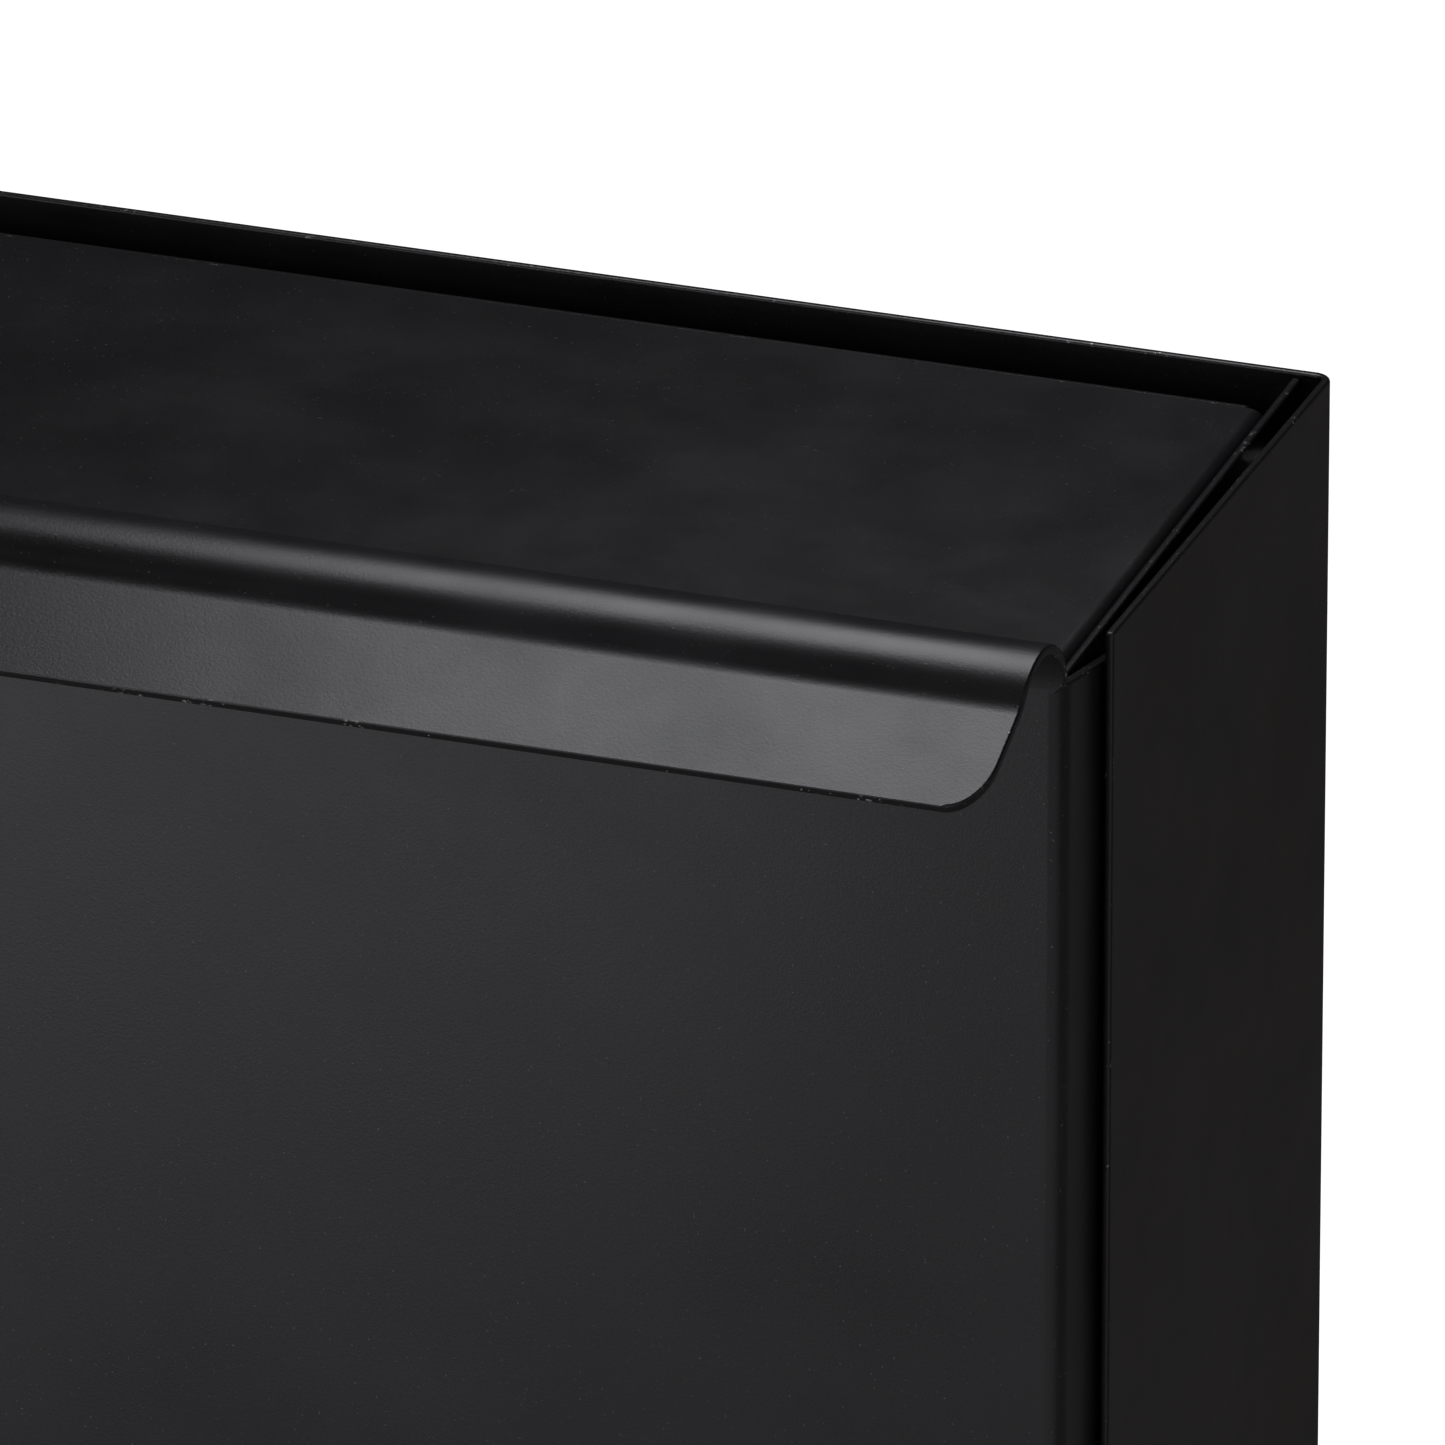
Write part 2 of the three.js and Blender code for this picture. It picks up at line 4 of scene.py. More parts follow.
import bmesh
import bpy
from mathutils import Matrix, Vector


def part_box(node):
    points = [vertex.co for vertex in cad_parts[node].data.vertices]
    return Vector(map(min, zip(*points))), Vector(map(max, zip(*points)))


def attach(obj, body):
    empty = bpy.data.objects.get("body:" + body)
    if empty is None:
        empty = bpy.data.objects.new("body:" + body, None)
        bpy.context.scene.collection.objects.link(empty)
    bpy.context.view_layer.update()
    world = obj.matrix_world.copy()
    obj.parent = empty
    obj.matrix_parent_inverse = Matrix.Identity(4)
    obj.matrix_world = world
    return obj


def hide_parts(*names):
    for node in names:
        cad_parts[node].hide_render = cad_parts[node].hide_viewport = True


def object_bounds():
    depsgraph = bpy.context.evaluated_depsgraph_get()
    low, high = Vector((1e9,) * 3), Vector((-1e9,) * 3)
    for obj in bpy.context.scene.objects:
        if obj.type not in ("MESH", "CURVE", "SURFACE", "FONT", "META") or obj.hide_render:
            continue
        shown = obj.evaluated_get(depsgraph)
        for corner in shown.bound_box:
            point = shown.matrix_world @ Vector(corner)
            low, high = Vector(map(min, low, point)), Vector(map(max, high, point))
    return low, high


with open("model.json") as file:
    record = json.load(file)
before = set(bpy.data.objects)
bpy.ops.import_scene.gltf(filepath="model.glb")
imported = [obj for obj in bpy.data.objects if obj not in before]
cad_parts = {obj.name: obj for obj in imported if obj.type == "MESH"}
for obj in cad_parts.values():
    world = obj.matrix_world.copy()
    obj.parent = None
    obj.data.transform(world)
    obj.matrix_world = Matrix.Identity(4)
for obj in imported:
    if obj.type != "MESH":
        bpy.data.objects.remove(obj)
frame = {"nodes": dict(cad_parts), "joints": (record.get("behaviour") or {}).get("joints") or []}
cad_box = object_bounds()

# The view: a long lens from the front right and above, close in on the top right corner,
# where the door's rolled lip, the lid and the shell's side come together.
mm = 0.001
view_azimuth = math.radians(19.62)
view_elevation = math.radians(23.82)
view_distance = 3.0
view_aim = Vector((0.13175, -0.103, 0.1309))
back = Vector((
    math.sin(view_azimuth) * math.cos(view_elevation),
    -math.cos(view_azimuth) * math.cos(view_elevation),
    math.sin(view_elevation),
))
camera_data = bpy.data.cameras.new("studio_camera")
camera_data.sensor_width = 36
camera_data.lens = 585.2
camera_data.clip_end = 100
camera = bpy.data.objects.new("studio_camera", camera_data)
camera.location = view_aim + back * view_distance
camera.rotation_mode = "QUATERNION"
camera.rotation_quaternion = (-back).to_track_quat("-Z", "Y")
bpy.context.collection.objects.link(camera)
bpy.context.scene.camera = camera
bpy.context.scene.view_settings.view_transform = "Standard"


# The studio: a pale floor, a softbox overhead with a weaker one behind it, a card in front and
# one to the right, and a dim room, so the satin black sheet shows soft bright bands on its curves.
def room_world(name, back_tone, front_tone, low_tone):
    """A dim room seen only in reflections, with its own tone behind, in front and below."""
    world = bpy.data.worlds.new(name)
    world.use_nodes = True
    tree = world.node_tree
    tree.nodes.clear()
    place = tree.nodes.new("ShaderNodeTexCoord")
    split = tree.nodes.new("ShaderNodeSeparateXYZ")
    tree.links.new(place.outputs["Generated"], split.inputs[0])

    def blend_tones(direction, start, end, first, second):
        ramp = tree.nodes.new("ShaderNodeMapRange")
        ramp.interpolation_type = "SMOOTHSTEP"
        ramp.inputs["From Min"].default_value = start
        ramp.inputs["From Max"].default_value = end
        tree.links.new(direction, ramp.inputs["Value"])
        tone = tree.nodes.new("ShaderNodeMix")
        tone.data_type = "RGBA"
        tree.links.new(ramp.outputs["Result"], tone.inputs["Factor"])
        for socket, value in ((tone.inputs["A"], first), (tone.inputs["B"], second)):
            if isinstance(value, tuple):
                socket.default_value = value
            else:
                tree.links.new(value, socket)
        return tone.outputs["Result"]

    behind = blend_tones(split.outputs["Z"], -0.1, -0.45, back_tone, low_tone)
    every_way = blend_tones(split.outputs["Y"], -0.3, -0.8, behind, front_tone)
    room = tree.nodes.new("ShaderNodeBackground")
    tree.links.new(every_way, room.inputs["Color"])
    seen = tree.nodes.new("ShaderNodeBackground")
    seen.inputs["Color"].default_value = (1, 1, 1, 1)
    path = tree.nodes.new("ShaderNodeLightPath")
    mix = tree.nodes.new("ShaderNodeMixShader")
    out = tree.nodes.new("ShaderNodeOutputWorld")
    tree.links.new(path.outputs["Is Camera Ray"], mix.inputs[0])
    tree.links.new(room.outputs[0], mix.inputs[1])
    tree.links.new(seen.outputs[0], mix.inputs[2])
    tree.links.new(mix.outputs[0], out.inputs["Surface"])
    return world


bpy.context.scene.world = room_world(
    "studio_room", (0.031, 0.031, 0.034, 1), (0.286, 0.286, 0.305, 1), (0.060, 0.055, 0.052, 1)
)


def softbox(name, place, aim, size, radiance, tint):
    """A rectangular area light that the camera doesn't see, as bright as radiance says."""
    data = bpy.data.lights.new(name, "AREA")
    data.shape = "RECTANGLE"
    data.size, data.size_y = size
    data.energy = radiance * math.pi * size[0] * size[1]
    data.color = tint
    light = bpy.data.objects.new(name, data)
    light.location = place
    light.rotation_mode = "QUATERNION"
    light.rotation_quaternion = (Vector(aim) - Vector(place)).to_track_quat("-Z", "Y")
    light.visible_camera = False
    bpy.context.collection.objects.link(light)


cool_white = (0.99, 0.99, 1.035)
warm_white = (1.0, 0.96, 0.92)
softbox("overhead_softbox", (0.066, 0.07, 0.55), (0.066, 0.07, 0), (0.293, 0.27), 4.0, cool_white)
softbox("rear_softbox", (0.066, 0.265, 0.55), (0.066, 0.265, 0), (0.293, 0.12), 2.1, cool_white)
softbox("front_card", (-0.29, -0.50, 0.155), (-0.29, -0.10, 0.155), (0.60, 0.52), 0.95, cool_white)
softbox("side_card", (1.2, -0.2, 0.40), (0.18, -0.05, 0.1), (0.7, 0.6), 0.45, warm_white)

floor_drop = 0.16
floor_half = 6.0
floor_mesh = bpy.data.meshes.new("floor")
floor_height = cad_box[0].z - floor_drop
floor_signs = [(-1, -1), (1, -1), (1, 1), (-1, 1)]
floor_corners = [(x * floor_half, y * floor_half, floor_height) for x, y in floor_signs]
floor_mesh.from_pydata(floor_corners, [], [(0, 1, 2, 3)])
floor = bpy.data.objects.new("floor", floor_mesh)
bpy.context.collection.objects.link(floor)
floor.visible_glossy = False
pale = bpy.data.materials.new("pale_floor")
pale.use_nodes = True
pale_shader = pale.node_tree.nodes["Principled BSDF"]
pale_shader.inputs["Base Color"].default_value = (0.93, 0.93, 0.93, 1)
pale_shader.inputs["Roughness"].default_value = 0.9
pale_shader.inputs["Emission Color"].default_value = (1, 1, 1, 1)
pale_shader.inputs["Emission Strength"].default_value = 1.0
floor_mesh.materials.append(pale)


# Powder coat: the satin black finish on every sheet. The group gives the fine ripple that baked
# powder has, a slow drift of tone, and a scatter of pale dust grains.
def new_group(name, inputs, outputs):
    """A shader node group with named sockets, and its input and output nodes."""
    group = bpy.data.node_groups.new(name, "ShaderNodeTree")
    for label, kind, value in inputs:
        socket = group.interface.new_socket(label, in_out="INPUT", socket_type=kind)
        socket.default_value = value
    for label, kind in outputs:
        group.interface.new_socket(label, in_out="OUTPUT", socket_type=kind)
    start = group.nodes.new("NodeGroupInput")
    end = group.nodes.new("NodeGroupOutput")
    return group, start, end


def noise(tree, place, scale, detail=2.0, roughness=0.5):
    node = tree.nodes.new("ShaderNodeTexNoise")
    node.inputs["Detail"].default_value = detail
    node.inputs["Roughness"].default_value = roughness
    tree.links.new(place, node.inputs["Vector"])
    if isinstance(scale, float):
        node.inputs["Scale"].default_value = scale
    else:
        tree.links.new(scale, node.inputs["Scale"])
    return node.outputs["Fac"]


def maths(tree, operation, first, second=0.0):
    node = tree.nodes.new("ShaderNodeMath")
    node.operation = operation
    for socket, value in zip(node.inputs, (first, second)):
        if isinstance(value, (int, float)):
            socket.default_value = value
        else:
            tree.links.new(value, socket)
    return node.outputs[0]


def remap(tree, value, low, high, to_low=0.0, to_high=1.0):
    node = tree.nodes.new("ShaderNodeMapRange")
    tree.links.new(value, node.inputs["Value"])
    labels = ("From Min", "From Max", "To Min", "To Max")
    for label, number in zip(labels, (low, high, to_low, to_high)):
        node.inputs[label].default_value = number
    return node.outputs["Result"]


def mixed(tree, factor, first, second):
    node = tree.nodes.new("ShaderNodeMix")
    node.data_type = "RGBA"
    sockets = (node.inputs["Factor"], node.inputs["A"], node.inputs["B"])
    for socket, value in zip(sockets, (factor, first, second)):
        if isinstance(value, (int, float, tuple)):
            socket.default_value = value
        else:
            tree.links.new(value, socket)
    return node.outputs["Result"]


finish_outputs = [
    ("Color", "NodeSocketColor"),
    ("Roughness", "NodeSocketFloat"),
    ("Height", "NodeSocketFloat"),
]


def make_powder_group():
    group, start, end = new_group(
        "powder_finish",
        [
            ("Tone", "NodeSocketColor", (0.018, 0.018, 0.019, 1)),
            ("Dust Tone", "NodeSocketColor", (0.12, 0.12, 0.12, 1)),
            ("Ripple Scale", "NodeSocketFloat", 2300.0),
            ("Drift", "NodeSocketFloat", 0.3),
            ("Dust", "NodeSocketFloat", 0.5),
            ("Roughness", "NodeSocketFloat", 0.4),
        ],
        finish_outputs,
    )
    place = group.nodes.new("ShaderNodeTexCoord").outputs["Object"]
    ripple = noise(group, place, start.outputs["Ripple Scale"], 3.0, 0.55)
    grain = noise(group, place, 3800.0, 1.0)
    cloud = noise(group, place, 14.0, 3.0)
    streak = noise(group, place, 55.0, 4.0, 0.6)
    grit = noise(group, place, 2600.0, 0.0)
    drift = maths(group, "MULTIPLY", remap(group, cloud, 0.3, 0.7, -1.0, 1.0), start.outputs["Drift"])
    shade = maths(group, "ADD", drift, 1.0)
    scaled = group.nodes.new("ShaderNodeVectorMath")
    scaled.operation = "SCALE"
    group.links.new(start.outputs["Tone"], scaled.inputs[0])
    group.links.new(shade, scaled.inputs["Scale"])
    grains = maths(group, "MULTIPLY", remap(group, grit, 0.80, 0.84), start.outputs["Dust"])
    color = mixed(group, grains, scaled.outputs[0], start.outputs["Dust Tone"])
    smear = remap(group, streak, 0.35, 0.7, -0.035, 0.035)
    rough = maths(group, "ADD", start.outputs["Roughness"], smear)
    height = maths(group, "ADD", ripple, maths(group, "MULTIPLY", grain, 0.6))
    height = maths(group, "ADD", height, maths(group, "MULTIPLY", grains, 1.5))
    group.links.new(color, end.inputs["Color"])
    group.links.new(rough, end.inputs["Roughness"])
    group.links.new(height, end.inputs["Height"])
    return group


powder_group = make_powder_group()


def new_material(name):
    material = bpy.data.materials.new(name)
    material.use_nodes = True
    shader = material.node_tree.nodes["Principled BSDF"]
    return material, material.node_tree, shader


def place_group(tree, group, values):
    node = tree.nodes.new("ShaderNodeGroup")
    node.node_tree = group
    for label, value in values.items():
        node.inputs[label].default_value = value
    return node


def add_bump(tree, shader, height, distance):
    bump = tree.nodes.new("ShaderNodeBump")
    bump.inputs["Distance"].default_value = distance
    bump.inputs["Strength"].default_value = 1.0
    tree.links.new(height, bump.inputs["Height"])
    tree.links.new(bump.outputs["Normal"], shader.inputs["Normal"])


def finished(name, group, values, depth, metallic=0.0):
    """A material whose colour, roughness and bump come from one of the finish groups."""
    material, tree, shader = new_material(name)
    finish = place_group(tree, group, values)
    tree.links.new(finish.outputs["Color"], shader.inputs["Base Color"])
    tree.links.new(finish.outputs["Roughness"], shader.inputs["Roughness"])
    shader.inputs["Metallic"].default_value = metallic
    add_bump(tree, shader, finish.outputs["Height"], depth)
    return material


black_tone = (0.0055, 0.0055, 0.006, 1)
satin_values = {"Tone": black_tone, "Roughness": 0.32, "Dust": 0.35}
satin_black = finished("satin_black_powder", powder_group, satin_values, 0.016 * mm)


# Cut edges: where the sheet was sheared, bare steel shows through in small chips. The edge
# coat is painted a shade darker than the faces, as painted shade for edge faces turned from the
# light.
def make_chip_group():
    group, start, end = new_group(
        "edge_chips",
        [("Chip Scale", "NodeSocketFloat", 1500.0), ("Amount", "NodeSocketFloat", 0.5)],
        [("Mask", "NodeSocketFloat"), ("Height", "NodeSocketFloat")],
    )
    place = group.nodes.new("ShaderNodeTexCoord").outputs["Object"]
    lumps = noise(group, place, start.outputs["Chip Scale"], 3.0, 0.6)
    patches = noise(group, place, 130.0, 2.0)
    large = maths(group, "MULTIPLY", patches, 0.35)
    both = maths(group, "ADD", maths(group, "MULTIPLY", lumps, 0.65), large)
    limit = maths(group, "SUBTRACT", 0.72, maths(group, "MULTIPLY", start.outputs["Amount"], 0.2))
    mask = maths(group, "MULTIPLY", maths(group, "SUBTRACT", both, limit), 30.0)
    clamp = group.nodes.new("ShaderNodeClamp")
    group.links.new(mask, clamp.inputs["Value"])
    group.links.new(clamp.outputs[0], end.inputs["Mask"])
    group.links.new(lumps, end.inputs["Height"])
    return group


chip_group = make_chip_group()


def cut_edge(name, shaded_coat_tone, bare_tone, amount):
    material, tree, shader = new_material(name)
    chips = place_group(tree, chip_group, {"Amount": amount})
    mask = chips.outputs["Mask"]
    tree.links.new(mixed(tree, mask, shaded_coat_tone, bare_tone), shader.inputs["Base Color"])
    tree.links.new(remap(tree, mask, 0.0, 1.0, 0.3, 0.34), shader.inputs["Roughness"])
    tree.links.new(remap(tree, mask, 0.0, 1.0, 0.0, 0.8), shader.inputs["Metallic"])
    add_bump(tree, shader, chips.outputs["Height"], 0.06 * mm)
    return material


# The darker edge coat tone is painted shade; the pale chips are bare steel.
edge_black = cut_edge("cut_edge_powder", (0.004, 0.004, 0.0045, 1), (0.30, 0.30, 0.30, 1), 0.5)


# Outer shell: back and both sides of one 1.2 mm steel sheet, folded at the two rear corners,
# then powder coated. Four holes in the back take the wall screws.
shell_low, shell_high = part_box("outer_shell")
thin_sheet = 1.2 * mm
fold_radius = 2.5 * mm
wall_hole_radius = 3.5 * mm
wall_holes = [(x * 120 * mm, z * 105 * mm) for x in (-1, 1) for z in (-1, 1)]
hinge_bore = 2.6 * mm
edge_round = 0.4 * mm
sliver = 0.004 * mm
past_side = 200 * mm
margin = 5 * mm


def strip_pairs(start, heading, sheet, steps, arc_step=5):
    """Left and right points of a sheet's section along runs and turns.

    Turns take an outside radius, and are drawn in steps of at most arc_step degrees.
    """
    half = sheet / 2
    x, y = start
    angle = math.radians(heading)
    pairs = []

    def mark():
        across = (-half * math.sin(angle), half * math.cos(angle))
        pairs.append(((x + across[0], y + across[1]), (x - across[0], y - across[1])))

    mark()
    for kind, amount, radius in steps:
        if kind == "run":
            x += amount * math.cos(angle)
            y += amount * math.sin(angle)
            mark()
            continue
        count = max(2, math.ceil(abs(amount) / arc_step))
        part = math.radians(amount) / count
        chord = 2 * (radius - half) * math.sin(abs(part) / 2)
        for _ in range(count):
            x += chord * math.cos(angle + part / 2)
            y += chord * math.sin(angle + part / 2)
            angle += part
            mark()
    return pairs


def run(length):
    return ("run", length, 0)


def turn(angle, radius):
    return ("turn", angle, radius)


def sheet_piece(name, shape):
    """An object from a bmesh, with the coat as its first material and the cut edge as second."""
    mesh = bpy.data.meshes.new(name)
    shape.to_mesh(mesh)
    shape.free()
    piece = bpy.data.objects.new(name, mesh)
    bpy.context.collection.objects.link(piece)
    mesh.materials.append(satin_black)
    mesh.materials.append(edge_black)
    return piece


def swept_sheet(name, pairs, stations, to_space):
    """A sheet whose section is swept through stations, with the second material on cut edges."""
    shape = bmesh.new()
    rows = [
        [[shape.verts.new(to_space(*point, station)) for point in pair] for pair in pairs]
        for station in stations
    ]

    def face(corners, index=0):
        shape.faces.new(corners).material_index = index

    last = len(pairs) - 1
    for near, far in zip(rows, rows[1:]):
        for i in range(last):
            for side in (0, 1):
                face([near[i][side], near[i + 1][side], far[i + 1][side], far[i][side]])
        for i in (0, last):
            face([near[i][0], near[i][1], far[i][1], far[i][0]], 1)
    for row in (rows[0], rows[-1]):
        for i in range(last):
            face([row[i][0], row[i + 1][0], row[i + 1][1], row[i][1]], 1)
    bmesh.ops.recalc_face_normals(shape, faces=shape.faces)
    return sheet_piece(name, shape)


def settle(piece):
    """Applies the piece's modifiers to its mesh."""
    depsgraph = bpy.context.evaluated_depsgraph_get()
    mesh = bpy.data.meshes.new_from_object(piece.evaluated_get(depsgraph))
    piece.modifiers.clear()
    piece.data = mesh


def round_edges(piece, width, segments, limit, material_index=-1):
    """Rounds edges sharper than the limit; the index of -1 keeps the neighbours' material."""
    bevel = piece.modifiers.new("round", "BEVEL")
    bevel.width = width
    bevel.segments = segments
    bevel.limit_method = "ANGLE"
    bevel.angle_limit = math.radians(limit)
    bevel.material = material_index
    bevel.use_clamp_overlap = True
    settle(piece)


def round_cut_edges(piece):
    round_edges(piece, edge_round, 3, 35, 1)


def smooth(piece, limit=38):
    """Closes slivers, then shades smooth with large flat faces flat up to their rounded edges."""
    mesh = piece.data
    shape = bmesh.new()
    shape.from_mesh(mesh)
    bmesh.ops.remove_doubles(shape, verts=shape.verts, dist=sliver)
    bmesh.ops.dissolve_degenerate(shape, edges=shape.edges, dist=sliver)
    shape.to_mesh(mesh)
    shape.free()
    mesh.polygons.foreach_set("use_smooth", [True] * len(mesh.polygons))
    mesh.set_sharp_from_angle(angle=math.radians(limit))
    weigh = piece.modifiers.new("weigh", "WEIGHTED_NORMAL")
    weigh.keep_sharp = True
    weigh.weight = 100


def combine(piece, tool, operation):
    """Joins the tool to the piece or cuts it away, and removes the tool."""
    boolean = piece.modifiers.new(operation, "BOOLEAN")
    boolean.operation = operation
    boolean.solver = "EXACT"
    boolean.object = tool
    settle(piece)
    bpy.data.objects.remove(tool)


def cutting_tool(name, shape):
    """A tool whose faces all leave a cut edge behind."""
    for tool_face in shape.faces:
        tool_face.material_index = 1
    return sheet_piece(name, shape)


def drill(piece, radius, low, high):
    """Cuts a round hole between two points."""
    shape = bmesh.new()
    axis = Vector(high) - Vector(low)
    bmesh.ops.create_cone(
        shape, cap_ends=True, segments=48, radius1=radius, radius2=radius, depth=axis.length
    )
    turned = axis.to_track_quat("Z", "Y").to_matrix().to_4x4()
    bmesh.ops.transform(shape, matrix=turned, verts=shape.verts)
    bmesh.ops.translate(shape, vec=(Vector(low) + Vector(high)) / 2, verts=shape.verts)
    combine(piece, cutting_tool("drill", shape), "DIFFERENCE")


def drill_across(piece, radius, y, z):
    """Cuts the holes that both hinge pins of a pair pass through."""
    drill(piece, radius, (-past_side, y, z), (past_side, y, z))


def plan_to_space(x, y, z):
    return Vector((x, y, z))


def side_to_space(y, z, x):
    return Vector((x, y, z))


def front_to_space(x, z, y):
    return Vector((x, y, z))


shell_middle = shell_high.x - thin_sheet / 2
shell_pairs = strip_pairs((-shell_middle, shell_low.y), 90, thin_sheet, [
    run(shell_high.y - shell_low.y - fold_radius),
    turn(-90, fold_radius),
    run(2 * (shell_high.x - fold_radius)),
    turn(-90, fold_radius),
    run(shell_high.y - shell_low.y - fold_radius),
])
shell = swept_sheet("shell_sheet", shell_pairs, [shell_low.z, shell_high.z], plan_to_space)
round_cut_edges(shell)
for x, z in wall_holes:
    drill(shell, wall_hole_radius, (x, -margin, z), (x, margin, z))
door_joint = next(joint for joint in frame["joints"] if joint["name"] == "door_hinge")
hinge_y, hinge_z = door_joint["pos_m"][1:]
drill_across(shell, hinge_bore, hinge_y, hinge_z)
smooth(shell)
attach(shell, "shell")
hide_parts("outer_shell")


# Inner body: floor and side walls of one sheet inside the shell, turned in at the front and
# rear. Its top edges fall slightly to the front, so rain runs off the lid that sits between them.
body_low, body_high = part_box("inner_body")
rain_fall = 0.033
front_return = 12 * mm
front_return_drop = 24 * mm
rear_flange = 22 * mm
rear_flange_drop = 30 * mm
floor_lip = 10 * mm
drain_radius = 3 * mm
drain_places = [(i - 2) * 60 * mm for i in range(5)]
stud_hole = 2.6 * mm
lid_bore = 2.1 * mm
lid_joint = next(joint for joint in frame["joints"] if joint["name"] == "lid_hinge")
lid_hinge_y, lid_hinge_z = lid_joint["pos_m"][1:]


def bar(name, low, high):
    """A flat strip of sheet as a closed box."""
    shape = bmesh.new()
    bmesh.ops.create_cube(shape, size=1)
    low, high = Vector(low), Vector(high)
    for corner in shape.verts:
        corner.co = Vector(low[i] + (high[i] - low[i]) * (corner.co[i] + 0.5) for i in range(3))
    piece = sheet_piece(name, shape)
    round_cut_edges(piece)
    return piece


body_middle = body_high.x - thin_sheet / 2
body_wall = body_high.z - body_low.z - fold_radius
body_pairs = strip_pairs((-body_middle, body_high.z), -90, thin_sheet, [
    run(body_wall),
    turn(90, fold_radius),
    run(2 * (body_high.x - fold_radius)),
    turn(90, fold_radius),
    run(body_wall),
])
body = swept_sheet("body_sheet", body_pairs, [body_low.y, body_high.y], front_to_space)
for corner in body.data.vertices:
    if corner.co.z > body_high.z - 1 * mm and corner.co.y < body_high.y - 1 * mm:
        corner.co.z -= rain_fall * (body_high.y - corner.co.y)
round_cut_edges(body)
inside = body_high.x - thin_sheet
floor_top = body_low.z + thin_sheet
sink = 0.5 * mm
inset = 0.02 * mm
fold_inside = inside - fold_radius + thin_sheet
fold_top = body_low.z + fold_radius
bars = [
    ("floor_lip", (-fold_inside, body_low.y + inset, body_low.z + sink),
     (fold_inside, body_low.y + thin_sheet, floor_top + floor_lip)),
    ("rear_lip", (-fold_inside, body_high.y - thin_sheet, body_low.z + sink),
     (fold_inside, body_high.y - inset, floor_top + rear_flange)),
]
for side in (-1, 1):
    front_x = sorted((side * (inside + sink), side * (inside - front_return)))
    rear_x = sorted((side * (inside + sink), side * (inside - rear_flange)))
    front_top = shell_high.z - front_return_drop
    rear_top = shell_high.z - rear_flange_drop
    bars.append((
        "front_return", (front_x[0], body_low.y + 2 * inset, fold_top),
        (front_x[1], body_low.y + thin_sheet - 2 * inset, front_top),
    ))
    bars.append((
        "rear_return", (rear_x[0], body_high.y - thin_sheet + 2 * inset, fold_top),
        (rear_x[1], body_high.y - 2 * inset, rear_top),
    ))
for name, low, high in bars:
    combine(body, bar(name, low, high), "UNION")
drill_across(body, hinge_bore, hinge_y, hinge_z)
drill_across(body, lid_bore, lid_hinge_y, lid_hinge_z)
drain_y = body_low.y / 2
for x in drain_places:
    drill(body, drain_radius, (x, drain_y, body_low.z - margin), (x, drain_y, floor_top + margin))
for number in range(1, 5):
    stud_low, stud_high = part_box(f"body_stud_{number}")
    stud = (stud_low + stud_high) / 2
    near, far = (stud.x, body_high.y - margin, stud.z), (stud.x, body_high.y + margin, stud.z)
    drill(body, stud_hole, near, far)
smooth(body)
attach(body, "shell")
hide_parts("inner_body")


# Lid: a shallow tray of 1.2 mm sheet turned down on all four sides, powder coated, hung on a pin
# at each rear corner. A notch in its front edge leaves room for a finger.
lid_low, lid_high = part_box("lid")
lid_flange = 13.5 * mm
lid_front_flange = 12 * mm
lid_rear_flange = 5 * mm
notch_half = 45 * mm
notch_depth = 10 * mm
notch_corner = 4 * mm
lid_middle = lid_high.x - thin_sheet / 2
lid_wall = lid_flange - fold_radius
lid_pairs = strip_pairs((-lid_middle, lid_high.z - lid_flange), 90, thin_sheet, [
    run(lid_wall),
    turn(-90, fold_radius),
    run(2 * (lid_high.x - fold_radius)),
    turn(-90, fold_radius),
    run(lid_wall),
])
end_fold = 1.8 * mm
lid_front_start = lid_low.y + end_fold
lid_rear_start = lid_high.y - end_fold
tray = swept_sheet("lid_sheet", lid_pairs, [lid_front_start, lid_rear_start], front_to_space)
round_cut_edges(tray)
flange_half = lid_high.x - fold_radius - 0.3 * mm
fold_middle = lid_high.z - thin_sheet / 2
front_fold = strip_pairs((lid_front_start + sink, fold_middle), 180, thin_sheet - inset, [
    run(sink), turn(90, end_fold), run(lid_front_flange - end_fold)])
rear_fold = strip_pairs((lid_rear_start - sink, fold_middle), 0, thin_sheet - inset, [
    run(sink), turn(-90, end_fold), run(lid_rear_flange - end_fold)])
for name, pairs in (("lid_front_fold", front_fold), ("lid_rear_fold", rear_fold)):
    fold = swept_sheet(name, pairs, [-flange_half, flange_half], side_to_space)
    round_cut_edges(fold)
    combine(tray, fold, "UNION")


def prism_tool(name, near, far):
    """A closed cutting block between two matching outlines."""
    shape = bmesh.new()
    near_corners = [shape.verts.new(point) for point in near]
    far_corners = [shape.verts.new(point) for point in far]
    shape.faces.new(near_corners)
    shape.faces.new(far_corners)
    for i in range(len(near)):
        j = (i + 1) % len(near)
        shape.faces.new([near_corners[i], near_corners[j], far_corners[j], far_corners[i]])
    bmesh.ops.recalc_face_normals(shape, faces=shape.faces)
    return cutting_tool(name, shape)


def notch_tool():
    """A round cornered block that cuts the finger notch out of the lid's front edge."""
    outline = [(-notch_half, lid_low.y - margin)]
    centre_y = lid_low.y + notch_depth - notch_corner
    for centre_x, first in ((-notch_half + notch_corner, 180), (notch_half - notch_corner, 90)):
        for i in range(9):
            angle = math.radians(first - i * 90 / 8)
            across = centre_x + notch_corner * math.cos(angle)
            outline.append((across, centre_y + notch_corner * math.sin(angle)))
    outline.append((notch_half, lid_low.y - margin))
    bottom = [(x, y, lid_high.z - lid_flange) for x, y in outline]
    top = [(x, y, lid_high.z + margin) for x, y in outline]
    return prism_tool("notch", bottom, top)


combine(tray, notch_tool(), "DIFFERENCE")
for corner in tray.data.vertices:
    corner.co.z -= rain_fall * (lid_high.y - corner.co.y)
drill_across(tray, lid_bore, lid_hinge_y, lid_hinge_z)
smooth(tray)
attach(tray, "lid")
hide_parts("lid")


